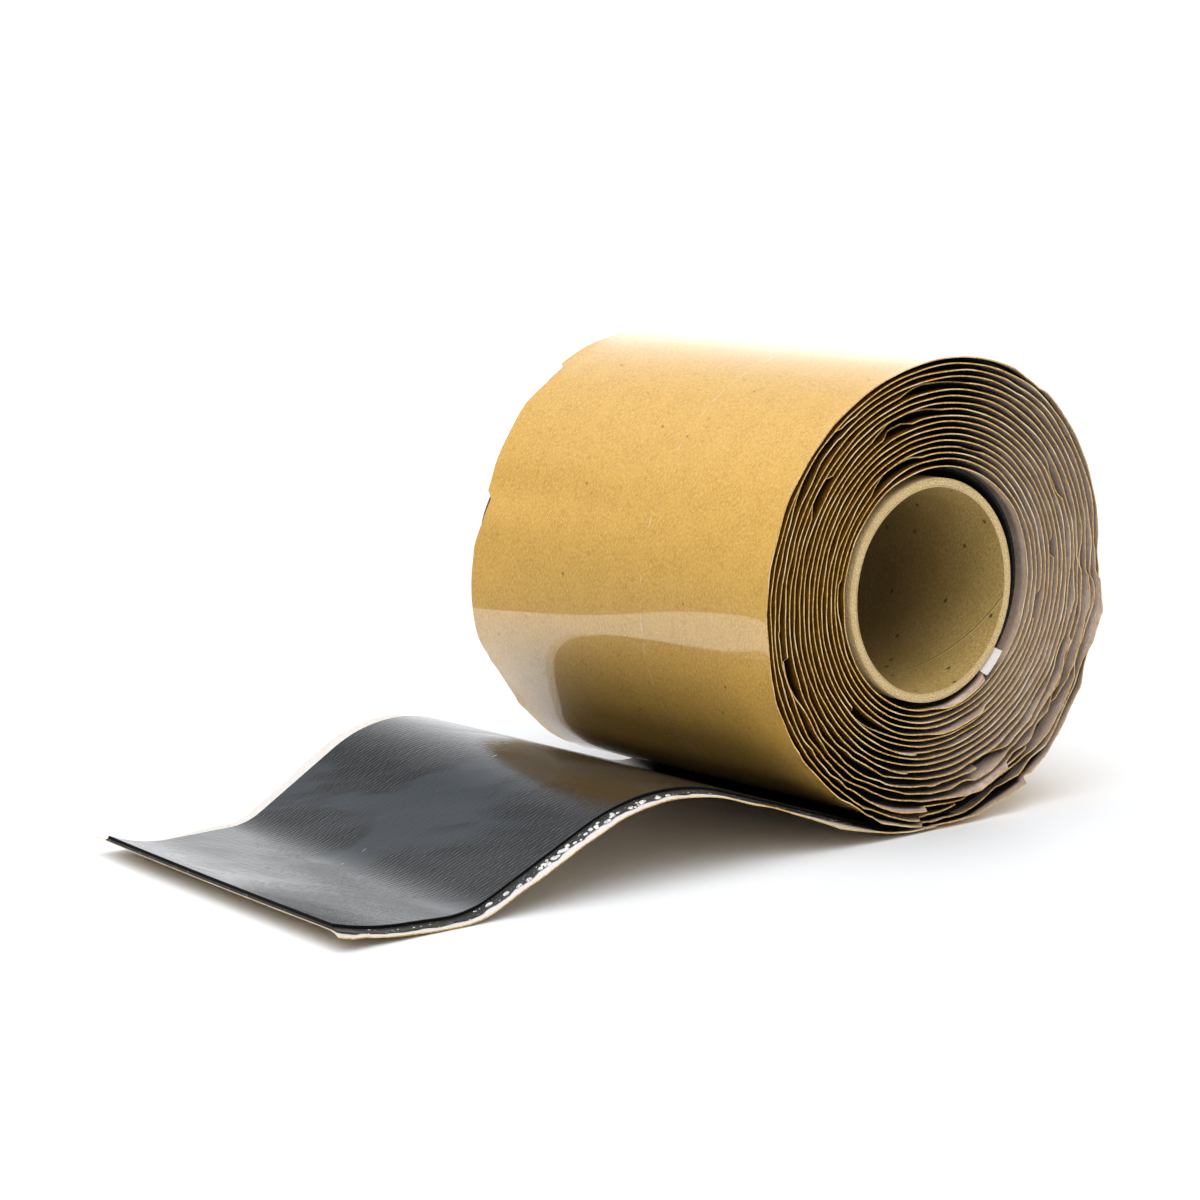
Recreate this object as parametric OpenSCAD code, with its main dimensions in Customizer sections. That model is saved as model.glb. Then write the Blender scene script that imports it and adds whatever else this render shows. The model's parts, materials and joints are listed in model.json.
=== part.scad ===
// Roll of self-adhesive rubber cover tape on a cardboard core, with its free end paid out.
// The core's bore runs along Y through the origin. The roll stands on its winding, the free
// end leaves the bottom of the roll towards -X, and +Z is up.

/* [Core] */
// Inside diameter of the cardboard core
core_bore_d = 76.2; // [60:0.1:80]
// Wall thickness of the cardboard core
core_wall = 3.3; // [2:0.1:4]
// Thickness of the smooth inside ply and of the smooth outside ply
core_skin = 0.4; // [0.2:0.1:0.8]
// Length of the cardboard core
core_len = 166; // [150:1:200]

/* [Tape] */
// Width of the rubber membrane
rubber_w = 152.4; // [100:0.1:160]
// Thickness of the rubber membrane
rubber_t = 1.1; // [0.8:0.05:1.2]
// Thickness of the black butyl adhesive
adhesive_t = 0.85; // [0.5:0.05:0.9]
// Width of the release liner, which overhangs the rubber on both sides
liner_w = 166; // [161:1:200]
// Thickness of the release liner
liner_t = 0.15; // [0.1:0.01:0.15]

/* [Winding] */
// Whole turns on the core
turns = 18; // [14:1:20]
// Air between turns where the roll is tight
tight_gap = 0.07; // [0.05:0.01:0.3]
// Angle of the tape's inner end, seen from the near end of the roll
start_angle = -40; // [-60:5:-20]
// Depth of the crescent gap where the first turn climbs over the inner end
crescent_gap = 4.8; // [3:0.1:6]
// Sideways drift of the winding away from the free end
drift = 3.2; // [0:0.1:5]
// First of the outer turns that are wound slack
slack_from = 8; // [4:1:12]

/* [Free end] */
// Angle at which the free end climbs away from the roll
rise_angle = 18; // [12:1:20]
// Angle at which it comes down from the hump
fall_angle = 25.5; // [15:0.5:30]
// Angle at which the cut end curls up
curl_angle = 20; // [0:1:25]
// Length of the climb
rise_len = 84; // [70:1:100]
// Length of the rounded hump
hump_len = 52; // [40:1:70]
// Length of the straight fall
fall_len = 37.8; // [30:0.1:50]
// Length of the curve in the valley
valley_len = 39; // [30:1:60]
// Length of the curl at the cut end
curl_len = 35; // [20:1:50]
// Length at the cut end that lifts off its liner
tip_len = 26; // [15:1:30]

/* [Hidden] */

core_r = core_bore_d / 2 + core_wall;
core_clearance = 0.5;
adhesive_face = rubber_t;
liner_face = rubber_t + adhesive_t;
tape_t = liner_face + liner_t;
pitch = tape_t + tight_gap;

// Each lobe is a side on which the outer turns stand off: middle angle, half width, depth.
slack_lobes = [[-58, 85, 6.2], [52, 50, 2.2], [-150, 60, 2]];
slack_turns = turns - slack_from;
crescent_mid = 10;
crescent_half = 100;
layer_gap = 0.05;
steps_per_turn = 36;
fold_steps = 2;

// The winding ends at the bottom of the roll, where the free end begins.
bottom_angle = -90;
wound_turns = turns + (start_angle - bottom_angle) / 360;
wound_steps = round(wound_turns * steps_per_turn);

core_colour = "BurlyWood";
ply_colour = "Tan";
rubber_colour = [0.13, 0.13, 0.14];
adhesive_colour = [0.06, 0.06, 0.06];
liner_colour = [0.78, 0.60, 0.34];
fold_colour = [0.88, 0.84, 0.82];

function smooth(u) = let(c = min(1, max(0, u))) c * c * (3 - 2 * c);

// Smallest signed difference between two angles
function angle_off(a, mid) = let(d = (a - mid) % 360) d > 180 ? d - 360 : (d < -180 ? d + 360 : d);

// A raised cosine that is 1 at mid and 0 from half degrees away
function lobe(a, mid, half) =
    abs(angle_off(a, mid)) < half ? (1 + cos(angle_off(a, mid) * 180 / half)) / 2 : 0;

function slack_at(a, i = 0) =
    i == len(slack_lobes) ? 0
    : slack_lobes[i][2] * lobe(a, slack_lobes[i][0], slack_lobes[i][1]) + slack_at(a, i + 1);

function wound_angle(t) = start_angle - 360 * t;

// Radius of the rubber's inner face after t turns, before the roll flattens on its rest
function free_radius(t) =
    let(a = wound_angle(t))
    core_r + core_clearance + pitch * t
    + crescent_gap * smooth((t - 0.5) / 0.35) * lobe(a, crescent_mid, crescent_half)
    + drift * t / turns * (1 + cos(a)) / 2
    + slack_at(a) * smooth((t - slack_from) / slack_turns);

end_radius = free_radius(wound_turns);

// The bottom of the roll is flattened, with every turn clear of the one under it.
function rest_radius(t) =
    let(a = wound_angle(t), depth = end_radius - (wound_turns - t) * (tape_t + layer_gap))
    sin(a) < -0.5 ? depth / -sin(a) : 2 * end_radius;
function face_radius(t) = min(free_radius(t), rest_radius(t));

function wound_point(t, depth) =
    let(a = wound_angle(t), r = face_radius(t) + depth) [r * cos(a), r * sin(a)];

// The free end's upper face, as lengths that turn from one climb angle to the next
lay_len = 10;
leave_len = 14;
course = [
    [lay_len, 0, 0],
    [leave_len, 0, rise_angle],
    [rise_len, rise_angle, rise_angle],
    [hump_len, rise_angle, -fall_angle],
    [fall_len, -fall_angle, -fall_angle],
    [valley_len, -fall_angle, 0],
    [curl_len, 0, curl_angle]
];
lift_at = lay_len + leave_len;
crest_at = lift_at + rise_len + hump_len / 2;
curl_at = lift_at + rise_len + hump_len + fall_len + valley_len / 3;
end_at = lift_at + rise_len + hump_len + fall_len + valley_len + curl_len;
tip_at = end_at - tip_len;
sample_len = 3;

function climb(part, s) = part[1] + (part[2] - part[1]) * s / part[0];
function run_x(part, s) =
    part[1] == part[2] ? s * cos(part[1])
    : (sin(climb(part, s)) - sin(part[1])) * part[0] / ((part[2] - part[1]) * PI / 180);
function run_z(part, s) =
    part[1] == part[2] ? s * sin(part[1])
    : (cos(part[1]) - cos(climb(part, s))) * part[0] / ((part[2] - part[1]) * PI / 180);

// Place and climb angle after the length s of the free end: [x, z, angle]
function free_place(s, i = 0, x = 0, z = -end_radius) =
    s <= course[i][0] || i == len(course) - 1
    ? [x - run_x(course[i], s), z + run_z(course[i], s), climb(course[i], s)]
    : free_place(s - course[i][0], i + 1,
                 x - run_x(course[i], course[i][0]), z + run_z(course[i], course[i][0]));

function free_point(s, depth) =
    let(p = free_place(s)) [p[0] - depth * sin(p[2]), p[1] - depth * cos(p[2])];

// Evenly spaced lengths through a list of places on the free end
function stations(places) =
    [for (k = [1 : len(places) - 1])
        let(from = places[k - 1], span = places[k] - from, n = max(2, ceil(span / sample_len)))
            for (i = [0 : n]) if (i > 0 || k == 1) from + span * i / n];

function back_to_front(list) = [for (i = [len(list) - 1 : -1 : 0]) list[i]];

// A flat outline in XZ, run the given width along Y about the middle
module across(width) {
    translate([0, width / 2, 0])
        rotate([90, 0, 0])
            linear_extrude(height = width)
                children();
}

function wound_line(depth) =
    concat([for (i = [0 : wound_steps]) wound_point(i / steps_per_turn, depth)],
           [for (s = stations([0, lift_at])) if (s > 0) free_point(s, depth)]);

// One layer of the winding, with the first stretch of the free end
module wound_layer(from, to, width) {
    across(width)
        polygon(concat(wound_line(from), back_to_front(wound_line(to))));
}

// One layer of the free end through a list of places
module free_layer(places, from, to, width) {
    across(width)
        polygon(concat([for (s = stations(places)) free_point(s, from)],
                       [for (s = back_to_front(stations(places))) free_point(s, to)]));
}

module rubber_layer(places) {
    color(rubber_colour)
        free_layer(places, 0, adhesive_face, rubber_w);
}

module adhesive_layer(places) {
    color(adhesive_colour)
        free_layer(places, adhesive_face, liner_face, rubber_w);
}

module liner_layer(places) {
    color(liner_colour)
        free_layer(places, liner_face, tape_t, liner_w);
}

// One ply of the core, between two radii
module ply(inside, outside) {
    rotate([90, 0, 0])
        difference() {
            cylinder(h = core_len, r = outside, center = true, $fn = 96);
            cylinder(h = core_len + 2, r = inside, center = true, $fn = 96);
        }
}

module core_inside_ply() {
    color(ply_colour)
        ply(core_bore_d / 2, core_bore_d / 2 + core_skin);
}

module core_body_plies() {
    color(core_colour)
        ply(core_bore_d / 2 + core_skin, core_r - core_skin);
}

module core_outside_ply() {
    color(ply_colour)
        ply(core_r - core_skin, core_r);
}

module rubber_wound() {
    color(rubber_colour)
        wound_layer(0, adhesive_face, rubber_w);
}

module adhesive_wound() {
    color(adhesive_colour)
        wound_layer(adhesive_face, liner_face, rubber_w);
}

module liner_wound() {
    color(liner_colour)
        wound_layer(liner_face, tape_t, liner_w);
}

// The liner's inner end, folded over the start of the tape and trapped under the second turn
module liner_start_fold() {
    color(fold_colour)
        across(liner_w)
            polygon(concat(
                [for (i = [0 : fold_steps]) wound_point(i / steps_per_turn, tape_t + layer_gap)],
                [for (i = [fold_steps : -1 : 0]) wound_point(1 + i / steps_per_turn, -layer_gap)]));
}

module rubber_rise() {
    rubber_layer([lift_at, crest_at]);
}

module adhesive_rise() {
    adhesive_layer([lift_at, crest_at]);
}

module liner_rise() {
    liner_layer([lift_at, crest_at]);
}

module rubber_fall() {
    rubber_layer([crest_at, curl_at]);
}

module adhesive_fall() {
    adhesive_layer([crest_at, curl_at]);
}

module liner_fall() {
    liner_layer([crest_at, curl_at]);
}

module rubber_tail() {
    rubber_layer([curl_at, tip_at]);
}

module adhesive_tail() {
    adhesive_layer([curl_at, tip_at]);
}

module liner_tail() {
    liner_layer([curl_at, tip_at, end_at]);
}

module rubber_tip() {
    rubber_layer([tip_at, end_at]);
}

module adhesive_tip() {
    adhesive_layer([tip_at, end_at]);
}

core_inside_ply();
core_body_plies();
core_outside_ply();
rubber_wound();
adhesive_wound();
liner_wound();
liner_start_fold();
rubber_rise();
adhesive_rise();
liner_rise();
rubber_fall();
adhesive_fall();
liner_fall();
rubber_tail();
adhesive_tail();
liner_tail();
rubber_tip();
adhesive_tip();
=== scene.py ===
"""A roll of rubber cover tape on its cardboard core, with the free end over a pale floor.

Lengths are in millimetres until a mesh is made. Angles round the roll are in degrees, seen
from its near end, as in the CAD model.
"""

import json
import math

import bpy
import numpy as np
from mathutils import Matrix, Vector


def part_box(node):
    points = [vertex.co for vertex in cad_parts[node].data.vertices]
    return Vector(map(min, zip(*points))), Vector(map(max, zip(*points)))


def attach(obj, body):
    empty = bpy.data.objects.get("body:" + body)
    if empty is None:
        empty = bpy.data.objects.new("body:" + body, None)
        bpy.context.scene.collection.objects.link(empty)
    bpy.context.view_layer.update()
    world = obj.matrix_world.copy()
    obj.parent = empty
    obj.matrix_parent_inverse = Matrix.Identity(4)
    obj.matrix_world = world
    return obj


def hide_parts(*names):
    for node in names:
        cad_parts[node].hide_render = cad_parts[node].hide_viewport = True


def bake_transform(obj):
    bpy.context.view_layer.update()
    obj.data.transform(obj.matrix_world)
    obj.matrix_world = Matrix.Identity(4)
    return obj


MM = 0.001

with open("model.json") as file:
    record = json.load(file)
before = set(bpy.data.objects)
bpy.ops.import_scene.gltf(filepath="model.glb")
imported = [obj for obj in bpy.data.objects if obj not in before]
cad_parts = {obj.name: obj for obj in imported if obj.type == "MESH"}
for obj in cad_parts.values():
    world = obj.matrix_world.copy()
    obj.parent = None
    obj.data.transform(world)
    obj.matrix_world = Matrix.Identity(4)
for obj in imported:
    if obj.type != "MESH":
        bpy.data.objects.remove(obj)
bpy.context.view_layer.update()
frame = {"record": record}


def extent(node, axis):
    """The size of a CAD node along one axis."""
    low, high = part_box(node)
    return (high[axis] - low[axis]) / MM


# ---------------------------------------------------------------- sizes from the frame
CORE_R = extent("core_outside_ply", 0) / 2
CORE_HALF = extent("core_outside_ply", 1) / 2
SKIN = (extent("core_outside_ply", 0) - extent("core_body_plies", 0)) / 2
RUBBER_HALF = extent("rubber_wound", 1) / 2
LINER_HALF = extent("liner_wound", 1) / 2
OVERHANG = LINER_HALF - RUBBER_HALF
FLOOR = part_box("liner_wound")[0].z / MM
BORE_R = next(m["dims"]["r_mm"] for m in frame["record"]["mounts"] if m["name"] == "core_bore")

# ---------------------------------------------------------------- the tape and its winding
RUBBER_T = 1.1
ADHESIVE_T = 0.85
LINER_T = 0.15
LINER_FACE = RUBBER_T + ADHESIVE_T
TAPE_T = LINER_FACE + LINER_T
PITCH = TAPE_T + 0.07
TURNS = 18
# The tape starts on the core at one angle and leaves the roll at another.
START = -40
BOTTOM = -90
WOUND = TURNS + (START - BOTTOM) / 360
CORE_CLEARANCE = 0.5
# The gap at the core's right, and how far the last turn lies off centre that way.
CRESCENT_GAP = 4.8
DRIFT = 3.2
# Turns from which the winding is slack, and how much: angle, half width and depth.
SLACK_FROM = 8
SLACK_LOBES = [(-58, 85, 6.2), (52, 50, 2.2), (-150, 60, 2.0)]
LAYER_GAP = 0.05
# No point of the tape lies lower than this.
LOWEST = FLOOR + 0.02


def smooth(u):
    """A smooth step from 0 at 0 to 1 at 1."""
    c = np.clip(u, 0, 1)
    return c * c * (3 - 2 * c)


def angle_off(a, mid):
    """How far an angle is from another, from -180 to 180."""
    return (a - mid + 180) % 360 - 180


def lobe(a, mid, half):
    """A raised cosine that is 1 at mid and 0 from half degrees away."""
    off = angle_off(a, mid)
    return np.where(np.abs(off) < half, (1 + np.cos(np.radians(off * 180 / half))) / 2, 0)


def free_radius(t):
    """Radius of the rubber's inner face after t turns, if the roll hung free."""
    a = START - 360 * t
    slack = sum(depth * lobe(a, mid, half) for mid, half, depth in SLACK_LOBES)
    return (CORE_R + CORE_CLEARANCE + PITCH * t
            + CRESCENT_GAP * smooth((t - 0.5) / 0.35) * lobe(a, 10, 100)
            + DRIFT * t / TURNS * (1 + np.cos(np.radians(a))) / 2
            + slack * smooth((t - SLACK_FROM) / (TURNS - SLACK_FROM)))


END_R = float(free_radius(np.array(WOUND)))


def face_radius(t):
    """Radius of the rubber's inner face after t turns, flattened where the roll rests."""
    sine = np.sin(np.radians(START - 360 * t))
    low = END_R - (WOUND - t) * (TAPE_T + LAYER_GAP)
    rest = np.where(sine < -0.5, low / np.maximum(-sine, 0.5), 2 * END_R)
    return np.minimum(free_radius(t), rest)


# ---------------------------------------------------------------- lengths along the tape
_fine = np.linspace(0, WOUND, 40001)
_radius = face_radius(_fine)
_steps = np.hypot(np.diff(_radius), _radius[1:] * np.radians(360) * np.diff(_fine))
_travel = np.concatenate([[0], np.cumsum(_steps)])
WOUND_LEN = float(_travel[-1])


def turns_after(travel):
    """How many turns have been wound after a length of tape."""
    return np.interp(travel, _travel, _fine)


def travel_at(turn, angle):
    """The length of tape wound when it passes an angle in a whole turn."""
    return float(np.interp(turn + ((START - angle) % 360) / 360, _fine, _travel))


# ---------------------------------------------------------------- the free end
# Rows of length, first climb angle and last one, along the near and the far edge.
NEAR_COURSE = [(10, 0, 0), (14, 0, 18), (75, 18, 18), (68, 18, -23.5), (44.5, -23.5, -23.5),
               (20, -23.5, 3), (17, 3, 3), (28, 3, 16)]
FAR_COURSE = [(10, 0, 0), (14, 0, 18), (89, 18, 18), (49, 18, -30.5), (38, -30.5, -30.5),
              (14, -30.5, -1), (26, -1, -1), (27, -1, 23.5)]
FREE_LEN = 271.8
# The tape's end is cut askew, so the edges' lengths differ from here on.
SKEW_FROM = 200
TRACE_STEP = 0.25


def trace(share):
    """The free end's path at a share of the way from the near edge to the far edge."""
    x, z, lengths, places = 0.0, -END_R, [0.0], [(0.0, -END_R, 0.0)]
    for near, far in zip(NEAR_COURSE, FAR_COURSE):
        length, start, stop = (n + (f - n) * share for n, f in zip(near, far))
        count = max(2, int(round(length / TRACE_STEP)))
        for i in range(count):
            climb = math.radians(start + (stop - start) * (i + 0.5) / count)
            x -= length / count * math.cos(climb)
            z += length / count * math.sin(climb)
            lengths.append(lengths[-1] + length / count)
            climb_after = math.radians(start + (stop - start) * (i + 1) / count)
            places.append((x, max(z, -END_R), climb_after))
    return np.array(lengths), np.array(places)


def free_place(length, across, depth):
    """Points on the free end. All three are arrays of the same two-dimensional shape."""
    points = np.zeros(length.shape + (3,))
    for column in range(length.shape[1]):
        share = (np.median(across[:, column]) + LINER_HALF) / (2 * LINER_HALF)
        lengths, places = trace(share)
        skew = smooth((length[:, column] - SKEW_FROM) / (FREE_LEN - SKEW_FROM))
        real = length[:, column] + (lengths[-1] - FREE_LEN) * skew
        past = np.maximum(0, real - lengths[-1])
        deep = depth[:, column]
        x, z, climb = (np.interp(real, lengths, values) for values in places.T)
        points[:, column, 0] = x - past * np.cos(climb) - deep * np.sin(climb)
        points[:, column, 1] = across[:, column]
        points[:, column, 2] = z + past * np.sin(climb) - deep * np.cos(climb)
    points[..., 2] = np.maximum(points[..., 2], LOWEST)
    return points


# ---------------------------------------------------------------- slack facets of the winding
# Angles at which the slack turns fold.
FOLDS = [-75, -58, -47, -30, -10, 14]


def facet_drop(angle, radius, turn):
    """How far the slack turns lie inside their curve, where they run straight between folds."""
    wander = 2.2 * np.sin(turn * 1.9) * smooth((WOUND - 1 - turn) / 0.5)
    drop = np.zeros_like(angle)
    for low, high in zip(FOLDS[:-1], FOLDS[1:]):
        half = (high - low) / 2
        off = angle_off(angle + wander, (low + high) / 2)
        inside = np.abs(off) < half
        flat = 1 - math.cos(math.radians(half)) / np.cos(np.radians(np.clip(off, -half, half)))
        drop = np.where(inside, radius * flat, drop)
    return drop * smooth((turn - SLACK_FROM) / 5)


def roll_place(travel, across, depth):
    """Points on the winding."""
    turn = turns_after(travel)
    angle = START - 360 * turn
    radius = face_radius(turn)
    radius = radius - facet_drop(angle, radius, turn) + depth
    radius = radius + dents(angle, across) * smooth((turn - WOUND + 3) / 2)
    x = radius * np.cos(np.radians(angle))
    z = np.maximum(radius * np.sin(np.radians(angle)), LOWEST)
    return np.stack([x, across, z], -1)


# Gentle dents of the outer turns: angle, half width, depth and which end they are at.
DENTS = [(-164, 22, 2.6, 1), (148, 26, -1.5, 1), (160, 10, -1.2, 0.9), (-120, 20, 1.0, 1),
         (120, 30, -0.8, -1), (-172, 20, -0.8, -1)]


def dents(angle, across):
    """How far the dents move the tape outwards. Each fades towards the other end of the roll."""
    share = across / LINER_HALF
    return sum(depth * lobe(angle, mid, half) * smooth((share * side + 0.6) / 1.6)
               for mid, half, depth, side in DENTS)


# ---------------------------------------------------------------- paper rims
def zigzag(travel, spacing, seed):
    """Random creases along the tape: straight between uneven knots, from -1 to 1."""
    rng = np.random.default_rng(seed)
    total = WOUND_LEN + FREE_LEN + 50
    knots = np.cumsum(rng.uniform(0.4, 1.6, int(total / spacing * 1.3)) * spacing)
    return np.interp(travel, knots, rng.uniform(-1, 1, len(knots)))


def ripple(travel, wavelength, seed):
    """Random smooth waves along the tape, from about -1 to 1."""
    rng = np.random.default_rng(seed)
    waves = [np.sin(travel * 2 * math.pi / (wavelength * rng.uniform(0.6, 1.7)) + rng.uniform(0, 6.28))
             for _ in range(4)]
    return sum(waves) / 2.2


# Torn stretches of the near rim: turn, angle where the tear starts and ends, and its depth.
NEAR_TEARS = [(13, 104, 78, 5.2), (9, 119, 88, 5.4), (8, 114, 101, 4.6), (2, 130, 98, 4.0),
              (5, -108, -134, 4.6), (11, 152, 139, 3.2), (15, 156, 128, 2.6), (14, -36, -52, 5.4),
              (12, -58, -70, 5.0), (16, -62, -80, 5.0), (3, 76, 64, 3.0), (10, 36, 22, 2.4),
              (6, 12, 5, 4.0), (13, -152, -166, 2.6), (17, 62, 50, 2.0), (3, -6, -17, 5.4)]
# Stretches where the near rim sticks out further, given in the same way.
LONG_RIMS = [(0, -53, -88, 2.2), (18, -57, -140, 3.2), (17, -93, -132, 2.8), (15, -92, -124, 3.0),
             (16, -94, -122, 2.2), (14, -60, -88, 2.2), (4, -60, -92, 1.6), (7, -98, -120, 1.6),
             (12, -20, -44, 1.6), (10, -100, -140, 1.2), (16, -2, -24, 1.8)]
# The last turn's near rim and the rim that runs on from it: travel past the winding, and bend.
LAST_RIM = [(-56, 0), (-52, -2.2), (-24, -2.5), (6, -2.7), (18, -3.0), (33, -1.0), (48, 0.6),
            (64, -0.4), (90, 0)]
NEAR_SEED, FAR_SEED = 20, 60


def random_tears(seed, count, deepest):
    """Torn stretches at random places, in rows like those of NEAR_TEARS."""
    rng = np.random.default_rng(seed)
    tears = []
    for _ in range(count):
        start = rng.uniform(-180, 180)
        turn = int(rng.integers(1, TURNS))
        stop = start - rng.uniform(6, 26)
        tears.append((turn, start, stop, rng.uniform(0.3, 1) * deepest))
    return tears


TEARS = {-1: NEAR_TEARS + random_tears(5, 14, 1.3), 1: random_tears(8, 26, 5)}


def stretches(travel, rows, rise, fall):
    """The size of listed stretches along a rim. Each rises and falls over a share of its length."""
    size = np.zeros_like(travel)
    for turn, start, stop, most in rows:
        first = travel_at(turn, start)
        radius = face_radius(np.array(float(turn)))
        last = first + math.radians(abs(angle_off(start, stop))) * radius
        share = (travel - first) / (last - first)
        size = np.maximum(size, most * np.clip(np.minimum(share / rise, (1 - share) / fall), 0, 1))
    return size


def creases(angle, turn, seed):
    """Creases that run through neighbouring turns at about the same angle, from -1 to 1."""
    rng = np.random.default_rng(seed)
    knots = np.cumsum(rng.uniform(7, 17, 40)) - 20
    wander = 5 * np.sin(turn * 1.7 + seed) + 3 * np.sin(turn * 4.1)
    return np.interp((angle + wander) % 360, knots, rng.uniform(-1, 1, len(knots)))


def slackness(travel):
    """How crumpled the winding is: up to 1 in the outer turns at the lower right, else 0."""
    turn = turns_after(travel)
    angle = START - 360 * turn
    return smooth((turn - 9) / 5) * smooth(1.7 * lobe(angle, -42, 80)) * (travel < WOUND_LEN)


def rim_shift(travel, side, share):
    """How far a rim's point moves along the roll and outwards, by its share of the overhang."""
    seed = NEAR_SEED if side < 0 else FAR_SEED
    turn = turns_after(travel)
    angle = START - 360 * turn
    wound = travel < WOUND_LEN
    bend = 0.12 * ripple(travel, 34, seed) + 0.20 * zigzag(travel, 19, seed + 1)
    # The slack turns are crumpled, the last one less so.
    slack = slackness(travel) * (1 - 0.55 * smooth((turn - WOUND + 1.4) / 0.3))
    bend = bend + slack * (1.4 * creases(angle, turn, seed) + 1.7 * zigzag(travel, 25, seed + 8)
                           + 1.3 * zigzag(travel, 9, seed + 2) + 0.4 * zigzag(travel, 4, seed + 3))
    low_left = lobe(angle, -128, 52) * smooth((turn - 7) / 5) * wound
    bend = bend + low_left * (0.5 * creases(angle, turn, seed + 7) + 0.60 * zigzag(travel, 14, seed + 4)
                              + 0.45 * zigzag(travel, 5, seed + 9))
    # The rims under the roll are bent inwards, clear of the floor.
    lifted = smooth((turn - WOUND + 4.4) / 1.5) * (turn < WOUND - 0.9)
    bend = bend - 2.2 * lifted * lobe(angle, -64, 30)
    free = travel - WOUND_LEN
    if side > 0:
        bend = bend - 0.9 * smooth((free - 95) / 35) * smooth((245 - free) / 30)
    else:
        bend = bend + 0.35 * ~wound + 0.9 * smooth((free - 262) / 6)
    along = 0.14 * ripple(travel, 24, seed + 5) + 0.26 * zigzag(travel, 11, seed + 6)
    along = along + 0.5 * low_left * zigzag(travel, 4, seed + 10)
    along = along - stretches(travel, TEARS[side], 0.45, 0.07)
    if side < 0:
        longer = stretches(travel, LONG_RIMS, 0.015, 0.25)
        along = along + longer
        bend = bend + 0.35 * longer + np.interp(free, *zip(*LAST_RIM))
    return side * share * along, share ** 1.6 * bend


# ---------------------------------------------------------------- meshes
SHARP_FROM = math.radians(38)


def mesh_object(name, points, faces, uvs, looks, face_looks):
    """A mesh from points in mm, faces of four or more corners, and one UV per corner."""
    corners = np.concatenate([np.asarray(f, np.int32) for f in faces])
    counts = np.array([len(f) for f in faces], np.int32)
    mesh = bpy.data.meshes.new(name)
    mesh.vertices.add(len(points))
    mesh.vertices.foreach_set("co", (points * MM).astype(np.float32).ravel())
    mesh.loops.add(len(corners))
    mesh.loops.foreach_set("vertex_index", corners)
    mesh.polygons.add(len(counts))
    mesh.polygons.foreach_set("loop_start", (np.cumsum(counts) - counts).astype(np.int32))
    mesh.polygons.foreach_set("loop_total", counts)
    mesh.polygons.foreach_set("material_index", np.asarray(face_looks, np.int32))
    mesh.polygons.foreach_set("use_smooth", np.ones(len(counts), bool))
    layer = mesh.uv_layers.new(name="tape")
    layer.data.foreach_set("uv", (uvs * MM).astype(np.float32).ravel())
    for look in looks:
        mesh.materials.append(look)
    mesh.update(calc_edges=True)
    mesh.validate()
    if signed_volume(points, faces) < 0:
        mesh.flip_normals()
    mesh.set_sharp_from_angle(angle=SHARP_FROM)
    made = bpy.data.objects.new(name, mesh)
    bpy.context.scene.collection.objects.link(made)
    return made


def signed_volume(points, faces):
    """Six times the volume inside the four-cornered faces. It is negative if they face inwards."""
    quads = np.array([f for f in faces if len(f) == 4])
    a, b, c, d = (points[quads[:, i]] for i in range(4))
    return float((a * np.cross(b, c)).sum() + (a * np.cross(c, d)).sum())


def loop_quads(rows, columns):
    """Faces between neighbouring rows of points, where each row is a closed loop."""
    i, j = np.meshgrid(np.arange(rows - 1), np.arange(columns), indexing="ij")
    after = (j + 1) % columns
    quads = [i * columns + j, i * columns + after, (i + 1) * columns + after, (i + 1) * columns + j]
    return np.stack(quads, -1).reshape(-1, 4)


def end_caps(rows, columns):
    """The two faces that close the first and the last row of loop_quads."""
    return [np.arange(columns)[::-1], (rows - 1) * columns + np.arange(columns)]


def capped_loops(name, points, lengths, places, kinds, cap_kind, looks):
    """A mesh of closed loops of points, with a cap on each end.

    lengths has a number for each loop and places one for each point in a loop, for the UV map.
    """
    rows, columns = points.shape[:2]
    uv_points = np.stack(np.meshgrid(lengths, places, indexing="ij"), -1).reshape(-1, 2)
    quads = loop_quads(rows, columns)
    caps = end_caps(rows, columns)
    uvs = np.concatenate([uv_points[quads].reshape(-1, 2)] + [uv_points[cap] for cap in caps])
    face_looks = list(np.tile(kinds, rows - 1)) + [cap_kind] * 2
    return mesh_object(name, points.reshape(-1, 3), list(quads) + caps, uvs, looks, face_looks)


def sweep(name, place, travel, section, looks, shift=None):
    """A closed cross-section run along the tape.

    section rows are (across, depth, look of the face up to the next row). shift gives how far
    each point moves (across, deeper).
    """
    across, depth, kinds = np.array(section, float).T
    length, side = np.meshgrid(travel, across, indexing="ij")
    deep = np.repeat(depth[None], len(travel), 0)
    if shift is not None:
        more_side, more_deep = shift(length, side, deep)
        side, deep = side + more_side, deep + more_deep
    points = place(length, side, deep)
    return capped_loops(name, points, travel, across + depth, kinds, kinds[-1], looks)


# Every layer has these rows across it, so that no layer cuts through another between rows.
MIDDLE = [70, 50, 25, 0, -25, -50, -70]


def liner_section():
    """The liner's outline: its face to the adhesive, an edge, its outside, an edge."""
    rim = [RUBBER_HALF + OVERHANG * share for share in (1, 0.8, 0.5, 0.2)]
    rows = rim + MIDDLE + [-a for a in reversed(rim)]
    inside = [(a, LINER_FACE, 0) for a in rows]
    outside = [(a, TAPE_T, 2) for a in reversed(rows)]
    inside[-1] = inside[-1][:2] + (1,)
    outside[-1] = outside[-1][:2] + (1,)
    return inside + outside


# How thick the swollen cut edge of the liner is, on top of the paper's own thickness.
RIM_T = 0.30


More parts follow.
